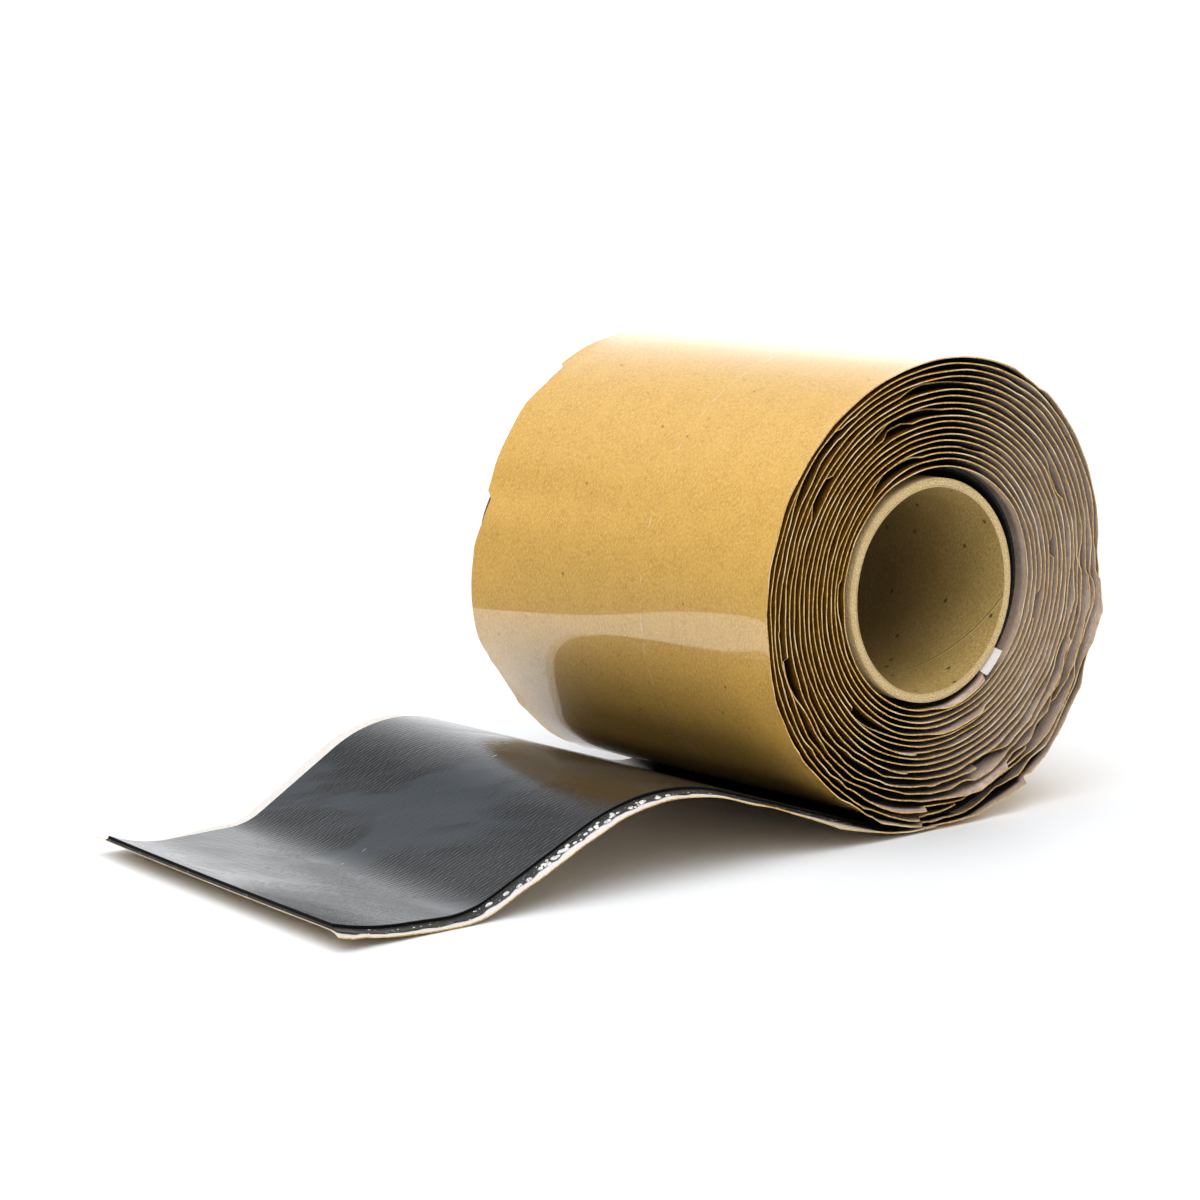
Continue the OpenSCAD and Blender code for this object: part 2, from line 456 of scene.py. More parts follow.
def liner_shift(travel, across, depth):
    """The rims wave, crease, flare and tear, and their cut edges are a little swollen."""
    share = np.clip((np.abs(across) - RUBBER_HALF) / OVERHANG, 0, 1)
    near_along, near_bend = rim_shift(travel, -1, share)
    far_along, far_bend = rim_shift(travel, 1, share)
    along = np.where(across < 0, near_along, far_along)
    bend = np.where(across < 0, near_bend, far_bend)
    swell = share ** 3 * RIM_T * np.where(depth > LINER_FACE + LINER_T / 2, 0.5, -0.5)
    # The paper stands off the adhesive in soft bubbles on the last turns and the free end.
    puff = 0.10 * (ripple(travel, 55, 3) + ripple(across + 200, 60, 4)) ** 2 * (share == 0)
    return along, bend + swell + puff * smooth((travel - WOUND_LEN + 700) / 100)


def rubber_section():
    """The rubber's outline: its top face, its near side, its underside and its far side."""
    chamfer = 0.18
    top = [(a, 0, 0) for a in [RUBBER_HALF - chamfer] + MIDDLE + [chamfer - RUBBER_HALF]]
    near = [(-RUBBER_HALF, chamfer, 1), (-RUBBER_HALF, RUBBER_T, 1)]
    far = [(RUBBER_HALF, RUBBER_T, 1), (RUBBER_HALF, chamfer, 1)]
    under = [(a, RUBBER_T, 1) for a in reversed(MIDDLE)]
    return top + near + under + far


# How far the adhesive is squeezed out past the rubber on the free end, along each side.
NEAR_SQUEEZE, FAR_SQUEEZE = 4.3, 1.4
# The adhesive's side, from the rubber down to the liner: share of the squeeze, and depth.
SIDE = [(0, RUBBER_T), (0.30, RUBBER_T + 0.12), (0.62, RUBBER_T + 0.33), (0.86, RUBBER_T + 0.56),
        (1, RUBBER_T + 0.74), (0.96, LINER_FACE - 0.02)]


def adhesive_section(near_squeeze=0.3, far_squeeze=0.3):
    """The adhesive's outline. It is squeezed out past the rubber along each side."""
    top = [(a, RUBBER_T, 0) for a in MIDDLE]
    near = [(-RUBBER_HALF - share * near_squeeze, depth, 0) for share, depth in SIDE]
    under = [(a, LINER_FACE - 0.02, 0) for a in reversed(MIDDLE)]
    far = [(RUBBER_HALF + share * far_squeeze, depth, 0) for share, depth in reversed(SIDE)]
    return top + near + under + far


def lumps(travel, far):
    """How much more or less than its usual squeeze the adhesive has along one side."""
    return 0.92 + 0.10 * ripple(travel, 9, 31) + 0.13 * zigzag(travel, 3.2, 32 + far)


def adhesive_shift(travel, across, depth):
    """The squeezed sides swell and shrink along the tape."""
    past = np.maximum(0, np.abs(across) - RUBBER_HALF)
    swell = np.where(across > 0, lumps(travel, 1), lumps(travel, 0)) - 1
    return np.sign(across) * past * swell, np.zeros_like(depth)


# ---------------------------------------------------------------- materials
class Look:
    """A material's node graph, with a short call for each kind of node."""

    def __init__(self, name, **settings):
        self.material = bpy.data.materials.new(name)
        self.material.use_nodes = True
        self.tree = self.material.node_tree
        self.shader = self.tree.nodes["Principled BSDF"]
        for socket, value in settings.items():
            self.shader.inputs[socket.replace("_", " ")].default_value = value

    def node(self, kind, *inputs, **settings):
        """A node with its first inputs filled in."""
        made = self.tree.nodes.new(kind)
        for key, value in settings.items():
            setattr(made, key, value)
        for socket, value in zip(made.inputs, inputs):
            self.put(value, socket)
        return made

    def put(self, value, socket):
        """Link a socket to another, or set it to a number."""
        if isinstance(value, bpy.types.NodeSocket):
            self.tree.links.new(value, socket)
        elif value is not None:
            socket.default_value = value

    def place(self, along=1.0, across=1.0, turn=0.0):
        """Millimetres along and across the tape, turned by some degrees and then stretched."""
        where = self.node("ShaderNodeUVMap", uv_map="tape").outputs[0]
        if turn:
            turned = self.node("ShaderNodeMapping", where)
            turned.inputs["Rotation"].default_value[2] = math.radians(turn)
            where = turned.outputs[0]
        return self.scaled(where, (along / MM, across / MM, 1))

    def scaled(self, where, scale):
        mapping = self.node("ShaderNodeMapping", where)
        mapping.inputs["Scale"].default_value = scale
        return mapping.outputs[0]

    def uv(self):
        """Sockets for the millimetres along and across the tape."""
        return self.node("ShaderNodeSeparateXYZ", self.place()).outputs[:2]

    def off(self, value, mid):
        """How far a value is from another."""
        return self.math("ABSOLUTE", self.math("SUBTRACT", value, mid))

    def line(self, along, across, value, half_width):
        """1 on the line where along * u + across * v is a value in mm, 0 beyond its half width."""
        u, v = self.uv()
        total = self.math("ADD", self.times(u, along), self.times(v, across))
        return self.window(self.off(total, value), half_width, half_width * 0.4)

    def near_rim(self, face, fade, full=0.0):
        """1 up to a distance inside the liner's cut edges and 0 from a longer one, on one face."""
        return self.window(self.off(self.uv()[1], face), LINER_HALF - fade, LINER_HALF - full)

    def solid(self):
        """Millimetres in the piece's own space."""
        where = self.node("ShaderNodeTexCoord").outputs["Object"]
        return self.scaled(where, (1 / MM, 1 / MM, 1 / MM))

    def texture(self, made, where, output, **inputs):
        """One output of a texture node, after its place and some other inputs are filled in."""
        self.put(where, made.inputs["Vector"])
        for socket, value in inputs.items():
            made.inputs[socket].default_value = value
        return made.outputs[output]

    def noise(self, where, size, detail=3.0, roughness=0.55, distortion=0.0):
        """Clouds of a size in mm."""
        made = self.node("ShaderNodeTexNoise")
        return self.texture(made, where, "Fac", Scale=1 / size, Detail=detail, Roughness=roughness,
                            Distortion=distortion)

    def cells(self, where, size):
        """The distance to the nearest of some scattered points, which lie a size in mm apart."""
        made = self.node("ShaderNodeTexVoronoi", feature="F1", voronoi_dimensions="2D")
        return self.texture(made, where, "Distance", Scale=1 / size)

    def stripes(self, where, size, distortion):
        """Waves of a length in mm."""
        made = self.node("ShaderNodeTexWave", bands_direction="X")
        # A wave texture of scale 1 has a wave each 0.314 of its space.
        return self.texture(made, where, "Fac", Scale=0.314 / size, Distortion=distortion, Detail=1.0)

    def math(self, operation, a, b=None):
        return self.node("ShaderNodeMath", a, b, operation=operation).outputs[0]

    def times(self, a, b):
        return self.math("MULTIPLY", a, b)

    def window(self, value, low, high):
        """0 below low, 1 above high, and smooth between."""
        made = self.node("ShaderNodeMapRange", value, low, high, interpolation_type="SMOOTHSTEP")
        return made.outputs[0]

    def mix(self, share, a, b):
        """One color where the share is 0, and another where it is 1."""
        made = self.node("ShaderNodeMix", data_type="RGBA")
        self.put(share, made.inputs[0])
        self.put(rgba(a), made.inputs[6])
        self.put(rgba(b), made.inputs[7])
        return made.outputs[2]

    def stain(self, color, share, strength, paint):
        """A color with some of a paint on it, at most as much as the strength."""
        return self.mix(self.times(share, strength), color, paint)

    def blend(self, share, low, high):
        """A number between two others."""
        return self.node("ShaderNodeMix", share, None, low, high, data_type="FLOAT").outputs[0]

    def bump(self, height, depth, under=None):
        """A normal from a height from 0 to 1, which stands for a depth in mm."""
        made = self.node("ShaderNodeBump")
        made.inputs["Strength"].default_value = 1.0
        made.inputs["Distance"].default_value = depth * MM
        self.put(height, made.inputs["Height"])
        self.put(under, made.inputs["Normal"])
        return made.outputs[0]

    def finish(self, color, roughness=None, normal=None):
        self.put(rgba(color), self.shader.inputs["Base Color"])
        self.put(roughness, self.shader.inputs["Roughness"])
        self.put(normal, self.shader.inputs["Normal"])
        return self.material


def rgba(color):
    """A color with its alpha, if it is given as three numbers."""
    return (*color, 1.0) if isinstance(color, tuple) and len(color) == 3 else color


def kraft():
    """Glossy kraft paper: mottled fibre, a few flecks and one long pale hairline.

    It is painted greyer and darker on the free end, as shade on the strip's underside.
    """
    look = Look("kraft_outside", Coat_Weight=1.0, Coat_Roughness=0.045, Coat_IOR=1.9,
                Specular_IOR_Level=1.0)
    flat = look.place()
    clouds = look.noise(flat, 9, 5, 0.6)
    fibre = look.noise(look.place(0.6, 1.0, 12), 0.85, 4, 0.75)
    grain = look.noise(flat, 0.42, 2)
    color = look.mix(look.window(clouds, 0.3, 0.7), (0.69, 0.350, 0.024), (0.80, 0.432, 0.047))
    color = look.mix(look.window(fibre, 0.38, 0.66), color, (0.91, 0.58, 0.165))
    amber = look.window(look.noise(flat, 3.2, 3), 0.55, 0.75)
    color = look.stain(color, amber, 0.6, (0.61, 0.30, 0.032))
    color = look.stain(color, look.window(grain, 0.50, 0.68), 0.5, (0.48, 0.23, 0.024))
    flecks = look.window(look.cells(flat, 46), 0.016, 0.008)
    color = look.stain(color, flecks, 0.75, (0.16, 0.08, 0.02))
    worn = look.window(look.noise(flat, 7, 3), 0.46, 0.56)
    hairline = look.times(look.line(0, 1, -13.2, 0.30), worn)
    color = look.stain(color, hairline, 0.55, (0.95, 0.84, 0.62))
    # Painted shade: the kraft on the free end, the strip's underside, is mixed towards grey brown.
    underside_shade = look.window(look.uv()[0], WOUND_LEN - 2, WOUND_LEN + 8)
    color = look.stain(color, underside_shade, 0.62, (0.36, 0.31, 0.245))
    roughness = look.blend(fibre, 0.40, 0.56)
    normal = look.bump(fibre, 0.008, look.bump(clouds, 0.03))
    look.put(look.bump(grain, 0.0025, look.bump(clouds, 0.012)), look.shader.inputs["Coat Normal"])
    return look.finish(color, roughness, normal)


def wound_outside():
    """The kraft between turns, a darker copy of the outer kraft as painted shade: golden brown at the
    rims, and painted darker still further in, as shade between the turns.
    """
    look = Look("kraft_between_turns", Roughness=0.6, Specular_IOR_Level=0.1)
    clouds = look.noise(look.place(), 8, 3)
    fibre = look.noise(look.place(0.4, 1), 0.9, 3)
    color = look.mix(look.window(clouds, 0.35, 0.7), (0.09, 0.035, 0.0025), (0.20, 0.090, 0.008))
    color = look.stain(color, look.window(fibre, 0.5, 0.75), 0.35, (0.36, 0.19, 0.035))
    # Painted shade: away from the rims the kraft is painted near black.
    color = look.mix(look.near_rim(TAPE_T, 4.4), (0.022, 0.010, 0.002), color)
    return look.finish(color, None, look.bump(fibre, 0.04))


def wound_inside(name, narrow_to):
    """The release face between turns, darker than on the free end as painted shade: mauve-grey and
    finely hatched past the rubber, else dark.

    Up to a length in mm along the tape, only a narrow strip at the cut edge is mauve-grey, and past it
    the face is painted dark as shade between the turns.
    """
    look = Look(name, Specular_IOR_Level=0.3)
    hatch = look.noise(look.place(0.25, 2.2), 0.6, 3)
    clouds = look.noise(look.place(0.6, 1), 9, 3)
    color = look.mix(look.window(hatch, 0.35, 0.65), (0.455, 0.325, 0.25), (0.71, 0.565, 0.46))
    color = look.stain(color, look.window(clouds, 0.5, 0.75), 0.6, (0.88, 0.79, 0.71))
    specks = look.window(look.cells(look.place(), 26), 0.016, 0.007)
    color = look.stain(color, specks, 0.7, (0.06, 0.04, 0.03))
    wide, narrow = look.near_rim(LINER_FACE, 6.7, 6.1), look.near_rim(LINER_FACE, 3.9, 1.7)
    pale = look.mix(look.line(1, 0, 0, narrow_to), wide, narrow)
    # Painted shade: past the pale strip the face is painted near black.
    color = look.mix(pale, (0.045, 0.033, 0.026), color)
    return look.finish(color, look.blend(clouds, 0.36, 0.58), look.bump(hatch, 0.03))


def release_face():
    """The liner's inner face on the free end: cream white, with faint smears and specks."""
    look = Look("liner_inside", Specular_IOR_Level=0.3)
    hatch = look.noise(look.place(0.25, 2.2), 0.6, 3)
    clouds = look.noise(look.place(0.6, 1), 9, 3)
    color = look.mix(look.window(hatch, 0.35, 0.65), (0.66, 0.61, 0.57), (0.77, 0.735, 0.70))
    color = look.stain(color, look.window(clouds, 0.55, 0.75), 0.3, (0.62, 0.50, 0.42))
    specks = look.window(look.cells(look.place(), 30), 0.014, 0.006)
    color = look.stain(color, specks, 0.7, (0.10, 0.07, 0.05))
    return look.finish(color, look.blend(clouds, 0.45, 0.65), look.bump(hatch, 0.03))


def paper_edge():
    """The cut edge of the kraft: golden, with cream patches."""
    look = Look("liner_edge", Roughness=0.85, Specular_IOR_Level=0.2)
    fibre = look.noise(look.place(), 1.4, 3)
    patches = look.noise(look.place(), 17, 2)
    color = look.mix(look.window(fibre, 0.35, 0.7), (0.58, 0.325, 0.08), (0.90, 0.61, 0.25))
    color = look.stain(color, look.window(patches, 0.52, 0.66), 0.7, (0.97, 0.78, 0.46))
    return look.finish(color, None, look.bump(fibre, 0.06))


def rubber():
    """Black membrane: a fine weave, wiped streaks, smooth patches and a broken scratch."""
    look = Look("rubber_face", Specular_IOR_Level=0.40)
    strokes = look.noise(look.place(0.24, 1, 8), 0.95, 2, 0.5)
    cords = look.stripes(look.place(1, 1, 80), 1.9, 1.6)
    weave = look.math("ADD", look.times(strokes, 1.4), look.times(cords, 0.30))
    wipe = look.noise(look.place(0.5, 0.14, 24), 6, 4, 0.6, 0.5)
    smear = look.noise(look.place(0.22, 0.09, 24), 9, 3, 0.55, 0.3)
    color = look.mix(look.window(wipe, 0.35, 0.7), (0.006, 0.007, 0.008), (0.013, 0.016, 0.020))
    over_crest = look.window(look.uv()[0], WOUND_LEN + 110, WOUND_LEN + 165)
    pressed = look.times(look.window(smear, 0.52, 0.62), over_crest)
    color = look.mix(pressed, color, (0.026, 0.033, 0.041))
    broken = look.window(look.noise(look.place(0.35, 0.02), 1.9, 2), 0.60, 0.67)
    scratch = look.times(look.line(0, 1, 4.0, 0.35), broken)
    color = look.stain(color, scratch, 0.6, (0.50, 0.52, 0.53))
    dust = look.window(look.noise(look.place(0.25, 1.1), 0.9, 2), 0.80, 0.85)
    color = look.stain(color, dust, 0.4, (0.35, 0.36, 0.38))
    roughness = look.blend(look.window(wipe, 0.3, 0.75), 0.13, 0.26)
    raised = look.times(weave, look.math("SUBTRACT", 1.0, look.times(pressed, 0.75)))
    normal = look.bump(raised, 0.075, look.bump(look.noise(look.place(), 2.5, 3), 0.015))
    return look.finish(color, roughness, normal)


def rubber_cut():
    """The membrane where it is cut: dull black. Between turns it is a darker copy of the rubber face, as
    painted shade.
    """
    look = Look("rubber_cut", Specular_IOR_Level=0.06)
    grain = look.noise(look.place(), 0.8, 3)
    color = look.mix(grain, (0.003, 0.003, 0.003), (0.010, 0.009, 0.009))
    return look.finish(color, look.blend(grain, 0.6, 0.8), look.bump(grain, 0.06))


def butyl(name, specks, gloss):
    """Black adhesive with a rough skin, grey where it is torn, and fine silvery specks."""
    look = Look(name, Specular_IOR_Level=gloss)
    flat = look.place()
    lumps_seen = look.noise(flat, 1.3, 3)
    torn_skin = look.noise(look.place(0.45, 1), 2.6, 3)
    fine = look.window(look.noise(flat, 0.6, 2), 0.66, 0.74)
    color = look.mix(look.window(lumps_seen, 0.3, 0.7), (0.010, 0.010, 0.011), (0.032, 0.030, 0.028))
    color = look.stain(color, look.window(torn_skin, 0.60, 0.70), specks * 0.5, (0.22, 0.20, 0.17))
    color = look.stain(color, fine, specks, (0.72, 0.71, 0.69))
    return look.finish(color, look.blend(lumps_seen, 0.25, 0.55), look.bump(lumps_seen, 0.25))


def blister_skin():
    """The thin silvery skin of a blister in the adhesive."""
    look = Look("adhesive_blister", Specular_IOR_Level=0.6)
    cloud = look.noise(look.place(), 0.8, 2)
    color = look.mix(look.window(cloud, 0.35, 0.62), (0.34, 0.33, 0.32), (0.90, 0.89, 0.88))
    return look.finish(color, look.blend(cloud, 0.2, 0.45), look.bump(cloud, 0.1))


def board_end():
    """Cut end and body of the cardboard core: tan, with short fibres."""
    look = Look("core_board", Specular_IOR_Level=0.15)
    fibre = look.noise(look.solid(), 0.55, 3)
    clouds = look.noise(look.solid(), 6, 2)
    color = look.mix(look.window(fibre, 0.3, 0.72), (0.48, 0.33, 0.140), (0.85, 0.66, 0.36))
    color = look.stain(color, look.window(clouds, 0.45, 0.7), 0.4, (0.58, 0.42, 0.18))
    return look.finish(color, look.blend(fibre, 0.8, 0.95), look.bump(fibre, 0.12))


# The seam of the core's inside ply is where SEAM_SLOPE * u + v is SEAM_AT, in mm.
SEAM_SLOPE = 0.70
SEAM_AT = 163.1


def board_skin():
    """Smooth inside ply of the core: olive brown and ribbed, with flecks, a seam painted as a pale
    highlight beside a dark shadow line, and painted shade that darkens the middle of the bore.
    """
    look = Look("core_ply", Specular_IOR_Level=0.2)
    flat = look.place()
    fibre = look.noise(look.place(0.5, 1, 35), 0.8, 3)
    clouds = look.noise(flat, 14, 2)
    rib = look.stripes(look.place(1, 1, 55), 1.5, 0.5)
    color = look.mix(look.window(fibre, 0.3, 0.7), (0.36, 0.236, 0.068), (0.56, 0.392, 0.138))
    color = look.stain(color, look.window(clouds, 0.4, 0.7), 0.5, (0.35, 0.235, 0.062))
    color = look.stain(color, rib, 0.12, (0.5, 0.4, 0.2))
    flecks = look.window(look.cells(look.place(0.7, 0.9, 20), 17), 0.050, 0.025)
    color = look.stain(color, flecks, 0.85, (0.05, 0.03, 0.012))
    # The seam is a real joint; its pale line is a painted highlight and the dark line beside it a
    # painted shadow.
    seam = look.line(SEAM_SLOPE, 1, SEAM_AT, 0.42)
    color = look.stain(color, seam, 0.7, (0.62, 0.48, 0.22))
    seam_shadow = look.line(SEAM_SLOPE, 1, SEAM_AT + 0.7, 0.42)
    color = look.stain(color, seam_shadow, 0.6, (0.08, 0.05, 0.015))
    # Painted shade: the ply is darkened towards the middle of the bore, away from its two ends.
    unshaded_ends = look.window(look.off(look.uv()[1], CORE_HALF), 20, CORE_HALF)
    color = look.stain(color, look.math("SUBTRACT", 1.0, unshaded_ends), 0.60, (0.085, 0.052, 0.013))
    return look.finish(color, look.blend(fibre, 0.6, 0.78), look.bump(rib, 0.02, look.bump(fibre, 0.03)))


def floor_paint():
    """Nearly white, with the faintest change of tone."""
    look = Look("floor_paint", Roughness=0.55, Specular_IOR_Level=0.3)
    tone = look.noise(look.solid(), 900, 2)
    return look.finish(look.mix(tone, (0.85, 0.865, 0.885), (0.87, 0.885, 0.905)))


KRAFT, RELEASE, EDGE = kraft(), release_face(), paper_edge()
# The two looks between the turns are darker copies of the liner's faces, painted as shade.
MAUVE, SHADED_KRAFT = wound_inside("liner_between_turns", 330), wound_outside()
OUTER_MAUVE = wound_inside("liner_outer_turn", 3 * WOUND_LEN)
RUBBER, RUBBER_CUT = rubber(), rubber_cut()
# The wound adhesive is a darker copy of the butyl, with few pale specks, as painted shade between the
# turns.
BUTYL, SHADED_BUTYL = butyl("butyl", 1.0, 0.5), butyl("butyl_wound", 0.12, 0.15)
BLISTER = blister_skin()
BOARD, SKIN_PLY = board_end(), board_skin()


# ---------------------------------------------------------------- the winding
# How far apart the points are along the tape.
LINER_STEP, OUTER_STEP, LAYER_STEP, FREE_STEP = 1.7, 1.5, 2.6, 1.6


def stations(start, stop, step):
    """Lengths from one to another, about a step apart."""
    return np.linspace(start, stop, max(3, int(round((stop - start) / step)) + 1))


# The liner's outer turn is a piece of its own, as its outside shows all the way across.
LAST_TURN = float(np.interp(WOUND - 1.03, _fine, _travel))
all_turns = stations(0, WOUND_LEN, LAYER_STEP)
forms = {"liner": (liner_section(), liner_shift), "rubber": (rubber_section(), None),
         "adhesive": (adhesive_section(), adhesive_shift)}
windings = [
    ("wound_liner", "liner", stations(0, LAST_TURN, LINER_STEP), [MAUVE, EDGE, SHADED_KRAFT]),
    ("outer_liner", "liner", stations(LAST_TURN, WOUND_LEN, OUTER_STEP), [OUTER_MAUVE, EDGE, KRAFT]),
    # The wound rubber uses the darker cut look, as painted shade between the turns.
    ("wound_rubber", "rubber", all_turns, [RUBBER_CUT, RUBBER_CUT]),
    ("wound_adhesive", "adhesive", all_turns, [SHADED_BUTYL]),
]
for name, layer, travel, looks in windings:
    section, shift = forms[layer]
    piece = sweep(name, roll_place, travel, section, looks, shift)
    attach(piece, "roll")
    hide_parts(f"{layer}_wound")


def start_fold():
    """The liner's inner end, folded back under the start of the tape and flared over its side."""
    a = np.radians(np.linspace(START + 3.5, START - 11.5, 7))[:, None]
    reach = LINER_HALF + 1.8
    across = np.linspace(-reach, reach, 111)
    # The paper bends outwards from here on, and is finely pleated past the bend.
    past_bend = np.abs(across) - LINER_HALF + 1.4
    flare = 2.5 * np.clip(past_bend / 3.2, 0, 1)
    ridge = 0.14 * np.sin(across * 2 * math.pi / 1.1) * smooth(past_bend / 1.5)
    grids = []
    for lift in (0.30, 0.48):
        radius = (CORE_R + lift + flare + ridge)[None]
        grids.append(np.stack([radius * np.cos(a), across + 0 * a, radius * np.sin(a)], -1))
    loops = np.concatenate([grids[0], grids[1][:, ::-1]], 1)
    lengths, places = 2.0 * np.arange(len(a)), np.concatenate([across, across[::-1]])
    kinds, looks = [0] * len(places), [RELEASE, EDGE]
    return capped_loops("folded_liner_start", loops, lengths, places, kinds, 1, looks)


fold = start_fold()
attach(fold, "roll")
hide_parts("liner_start_fold")

# ---------------------------------------------------------------- the free end
# Each layer is cut between the hinges. Rows of name, where the length starts and stops,
# the hinge's bodies, and where it starts and stops bending.
LENGTHS = [
    ("rise", 0, 79, ("roll", "strip_rise"), (15, 33)),
    ("fall", 79, 172, ("strip_rise", "strip_fall"), (112, 156)),
    ("tail", 172, 228, ("strip_fall", "strip_tail"), (198, 224)),
    ("tip", 228, FREE_LEN, ("strip_tail", "strip_tip"), (246, 257)),
]


def on_free_end(length):
    """A point on the rubber's top face in the middle of the tape, in metres."""
    one = np.array([[float(length)]])
    return tuple(free_place(one, np.zeros((1, 1)), np.zeros((1, 1)))[0, 0] * MM)


def free_sweep(name, start, stop, section, looks, shift, past=0.0):
    """A sweep along the free end. Creases run on from the winding's."""
    def place(travel, across, depth):
        return free_place(travel - WOUND_LEN, across, depth)
    travel = WOUND_LEN + stations(start, stop + past, FREE_STEP)
    return sweep(name, place, travel, section, looks, shift)


# The liner under the tip stays with the tail.
for part, start, stop, bodies, bend in LENGTHS:
    last = part == "tip"
    layers = [
        ("rubber", rubber_section(), [RUBBER, RUBBER_CUT], None, 0),
        ("adhesive", adhesive_section(NEAR_SQUEEZE, FAR_SQUEEZE), [BUTYL], adhesive_shift, 0),
        ("liner", liner_section(), [RELEASE, EDGE, KRAFT], liner_shift, 1.0 if last else 0),
    ]
    for layer, section, looks, shift, past in layers:
        piece = free_sweep(f"free_{layer}_{part}", start, stop, section, looks, shift, past)
        if last and layer == "liner":
            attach(piece, "strip_tail")
        else:
            on_free_end(bend[0])
            on_free_end(bend[1])
            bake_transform(piece)
        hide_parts(f"{layer}_tail" if last and layer == "liner" else f"{layer}_{part}")


def scatter_blisters():
    """Blisters in the near side: length along, place down the side, half width and stretch."""
    rng = np.random.default_rng(77)
    large = [(rng.triangular(116, 164, 214), rng.uniform(0.3, 0.8), rng.uniform(0.42, 0.95),
              rng.uniform(1, 1.9)) for _ in range(40)]
    small = [(rng.uniform(14, 262), rng.uniform(0.15, 0.9), rng.uniform(0.14, 0.30),
              rng.uniform(1, 2.2)) for _ in range(80)]
    return large + small


DOME_RINGS, DOME_CORNERS = 4, 10


def blister_dome(length, down, half, stretch):
    """Points of a low dome on the adhesive's near side, its rim first."""
    shares, depths = np.array(SIDE).T
    rows = np.linspace(0, 1, len(SIDE))
    squeeze = NEAR_SQUEEZE * float(lumps(np.array(WOUND_LEN + length), 0))

    def on_side(q):
        """Across and depth at a share of the way down the side."""
        out = RUBBER_HALF + squeeze * np.interp(q, rows, shares)
        return np.array([-out, np.interp(q, rows, depths)])

    slope = on_side(min(down + 0.05, 1)) - on_side(down - 0.05)
    slope = slope / np.linalg.norm(slope)
    normal = np.array([-slope[1], slope[0]])
    points = []
    for ring in range(DOME_RINGS):
        lean = math.radians(90 - 25 * ring)
        for corner in range(DOME_CORNERS):
            spin = math.radians(360 / DOME_CORNERS * corner)
            side = half * math.sin(lean) * math.sin(spin) * slope
            rise = (half * 0.6 * math.cos(lean) - 0.08) * normal
            across, depth = on_side(down) + side + rise
            points.append((length + half * stretch * math.sin(lean) * math.cos(spin), across, depth))
    return points


def blisters(name, start, stop):
    """Every blister between two lengths, as one piece."""
    domes = [b for b in scatter_blisters() if start <= b[0] < stop]
    flat = np.array([point for dome in domes for point in blister_dome(*dome)])
    points = free_place(flat[:, :1], flat[:, 1:2], flat[:, 2:3])[:, 0]
    dome = end_caps(DOME_RINGS, DOME_CORNERS) + list(loop_quads(DOME_RINGS, DOME_CORNERS))
    faces = [first + face for first in range(0, len(flat), DOME_RINGS * DOME_CORNERS) for face in dome]
    uvs = np.concatenate([flat[face][:, :2] for face in faces])
    return mesh_object(name, points, faces, uvs, [BLISTER], [0] * len(faces))


for part, start, stop, bodies, bend in LENGTHS:
    piece = blisters(f"blisters_{part}", start, stop)
    on_free_end(bend[0])
    on_free_end(bend[1])
    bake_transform(piece)


# ---------------------------------------------------------------- the core
# How many points there are round the core.
TUBE_POINTS = 240


def tube(name, inside, outside, half, looks, seed, wobble):
    """One ply of the core, as a ring section run round the bore, with uneven cut ends."""
    count = TUBE_POINTS
    turn = np.linspace(0, 2 * math.pi, count, endpoint=False)
    rng = np.random.default_rng(seed)
    edge = sum(np.sin(turn * k + rng.uniform(0, 6.28)) * rng.uniform(-1, 1)
               for k in (2, 3, 5, 9, 17, 31)) / 3
    bevel = min(0.25, (outside - inside) / 3)
    inner = [(inside, y, 0) for y in (bevel - half, -half * 0.5, 0, half * 0.5)]
    inner += [(inside, half - bevel, 1)]
    outer = [(outside, half - bevel, 0), (outside, 0, 0), (outside, bevel - half, 1)]
    section = inner + [(inside + bevel, half, 1), (outside - bevel, half, 1)] + outer
    section += [(outside - bevel, -half, 1), (inside + bevel, -half, 1)]
    radii, ys, kinds = np.array(section, float).T
    columns = len(section)
    cos, sin = np.cos(turn)[:, None], np.sin(turn)[:, None]
    radius = radii[None] + 0.05 * np.sin(turn * 7 + seed)[:, None]
    y = ys[None] + (wobble * edge)[:, None] * np.sign(ys)[None]
    points = np.stack([radius * cos, y, radius * sin], -1).reshape(-1, 3)
    quads = loop_quads(count + 1, columns) % (count * columns)
    # The UV map is the ply laid flat: round the bore, and along the section's outline.
    i, j = np.divmod(np.arange(count * columns), columns)
    corner_turn = np.stack([i, i, i + 1, i + 1], -1) / count * 2 * math.pi * inside
    outline = np.cumsum(np.hypot(np.diff(radii, prepend=radii[0]), np.diff(ys, prepend=ys[0])))
    after = np.append(outline, outline[-1] + 1)[j + 1]
    corner_outline = np.stack([outline[j], after, after, outline[j]], -1)
    uvs = np.stack([corner_turn, corner_outline], -1).reshape(-1, 2)
    return mesh_object(name, points, list(quads), uvs, looks, np.tile(kinds, count))


plies = [
    ("inside_ply", BORE_R, BORE_R + SKIN, 0.05, [SKIN_PLY, BOARD], "core_inside_ply"),
    ("board_plies", BORE_R + SKIN, CORE_R - SKIN, 0.12, [BOARD, BOARD], "core_body_plies"),
    ("outside_ply", CORE_R - SKIN, CORE_R, 0.08, [BOARD, BOARD], "core_outside_ply"),
]
for number, (name, inside, outside, wobble, looks, node) in enumerate(plies):
    ply = tube(name, inside, outside, CORE_HALF, looks, 40 + number, wobble)
    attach(ply, "core")
    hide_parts(node)


# ---------------------------------------------------------------- stage, light and camera
FLOOR_HALF = 4000
# The floor's back edge lies where y is WALL_Y + WALL_SLOPE * x.
WALL_Y, WALL_SLOPE = 307.68, 0.235


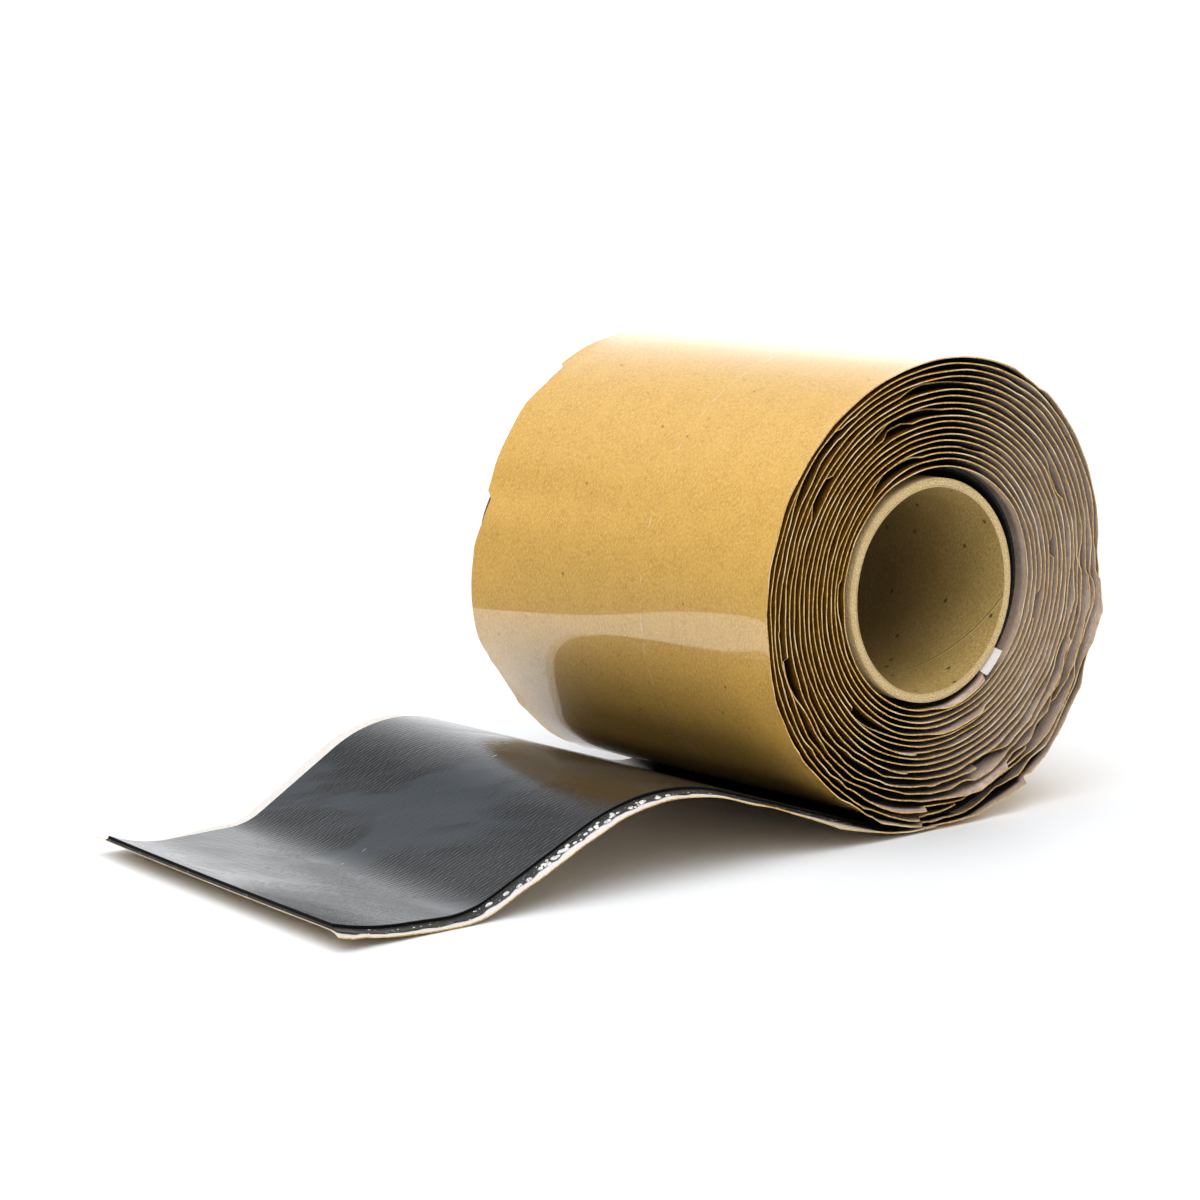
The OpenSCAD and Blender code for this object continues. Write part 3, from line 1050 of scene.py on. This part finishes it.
def lay_floor():
    """A pale floor. It stops a little behind the roll, where the white background begins."""
    corners = [(-FLOOR_HALF, -FLOOR_HALF), (FLOOR_HALF, -FLOOR_HALF)]
    corners += [(x, WALL_Y + WALL_SLOPE * x) for x in (FLOOR_HALF, -FLOOR_HALF)]
    points = np.array([(x, y, FLOOR) for x, y in corners])
    floor = mesh_object("floor", points, [np.arange(4)], points[:, :2], [floor_paint()], [0])


# The lights: where each comes from, and its strength. The room is the same all round.
SOFT_BOX_FROM, SOFT_BOX = (-0.36, -0.15, 1), 2.8
FRONT_FROM, FRONT_FILL = (-0.45, -1, 0.12), 0.27
BACK_WALL, ROOM = 1.68, 0.06
TINT = (0.97, 0.985, 1.0, 1)
# How bright the background is where the camera sees it.
BACKDROP = 1.1


def light_world():
    """A soft box overhead, a white wall behind the roll, a weak fill in front and a dim room."""
    world = bpy.data.worlds.new("studio")
    bpy.context.scene.world = world
    world.use_nodes = True
    nodes, link = world.node_tree.nodes, world.node_tree.links.new
    background = nodes["Background"]
    background.inputs["Color"].default_value = TINT
    seen = nodes.new("ShaderNodeBackground")
    seen.inputs["Color"].default_value = (1, 1, 1, 1)
    seen.inputs["Strength"].default_value = BACKDROP
    mixer = nodes.new("ShaderNodeMixShader")
    link(nodes.new("ShaderNodeLightPath").outputs["Is Camera Ray"], mixer.inputs[0])
    link(background.outputs[0], mixer.inputs[1])
    link(seen.outputs[0], mixer.inputs[2])
    link(mixer.outputs[0], nodes["World Output"].inputs[0])
    where = nodes.new("ShaderNodeTexCoord").outputs["Generated"]

    def towards(direction, low, high, value):
        """Light that grows to a value as the cosine to a direction goes from low to high."""
        dot = nodes.new("ShaderNodeVectorMath")
        dot.operation = "DOT_PRODUCT"
        link(where, dot.inputs[0])
        dot.inputs[1].default_value = Vector(direction).normalized()
        ranged = nodes.new("ShaderNodeMapRange")
        ranged.interpolation_type = "SMOOTHSTEP"
        link(dot.outputs["Value"], ranged.inputs[0])
        for socket, number in zip(list(ranged.inputs)[1:5], (low, high, 0, value)):
            socket.default_value = number
        return ranged.outputs[0]

    def combine(operation, a, b):
        """Two lights added or multiplied. The second can be a plain number."""
        made = nodes.new("ShaderNodeMath")
        made.operation = operation
        link(a, made.inputs[0])
        if isinstance(b, float):
            made.inputs[1].default_value = b
        else:
            link(b, made.inputs[1])
        return made.outputs[0]

    away = (math.sin(math.radians(-AZIMUTH)), math.cos(math.radians(-AZIMUTH)), 0)
    low_down = towards((0, 0, -1), -0.82, -0.22, 1)
    wall = combine("MULTIPLY", towards(away, 0.3, 0.8, BACK_WALL), low_down)
    light = combine("ADD", towards(SOFT_BOX_FROM, 0.58, 0.94, SOFT_BOX), wall)
    light = combine("ADD", light, towards(FRONT_FROM, -0.1, 0.75, FRONT_FILL))
    link(combine("ADD", light, ROOM), background.inputs["Strength"])


# The camera's angles in degrees, fitted to the photo's perspective, and its distance in mm.
AZIMUTH, ELEVATION, ROLL_ANGLE = -39.96, 9.53, -0.16
DISTANCE = 1345.65
AIM = (-53.46, 42.3, -13.41)
SENSOR, FOCAL = 36, 105.3


def add_camera():
    """A camera at the photo's angle that looks at AIM."""
    a, e = math.radians(AZIMUTH), math.radians(ELEVATION)
    back = Vector((math.sin(a) * math.cos(e), -math.cos(a) * math.cos(e), math.sin(e)))
    camera = bpy.data.objects.new("camera", bpy.data.cameras.new("camera"))
    bpy.context.scene.collection.objects.link(camera)
    camera.data.sensor_width = SENSOR
    camera.data.lens = FOCAL
    camera.data.clip_start, camera.data.clip_end = 0.01, 100
    eye = Matrix.Translation((Vector(AIM) + back * DISTANCE) * MM)
    turn = (-back).to_track_quat("-Z", "Y").to_matrix().to_4x4()
    camera.matrix_world = eye @ turn @ Matrix.Rotation(math.radians(ROLL_ANGLE), 4, "Z")
    bpy.context.scene.camera = camera


lay_floor()
light_world()
add_camera()
bpy.context.scene.view_settings.view_transform = "Standard"
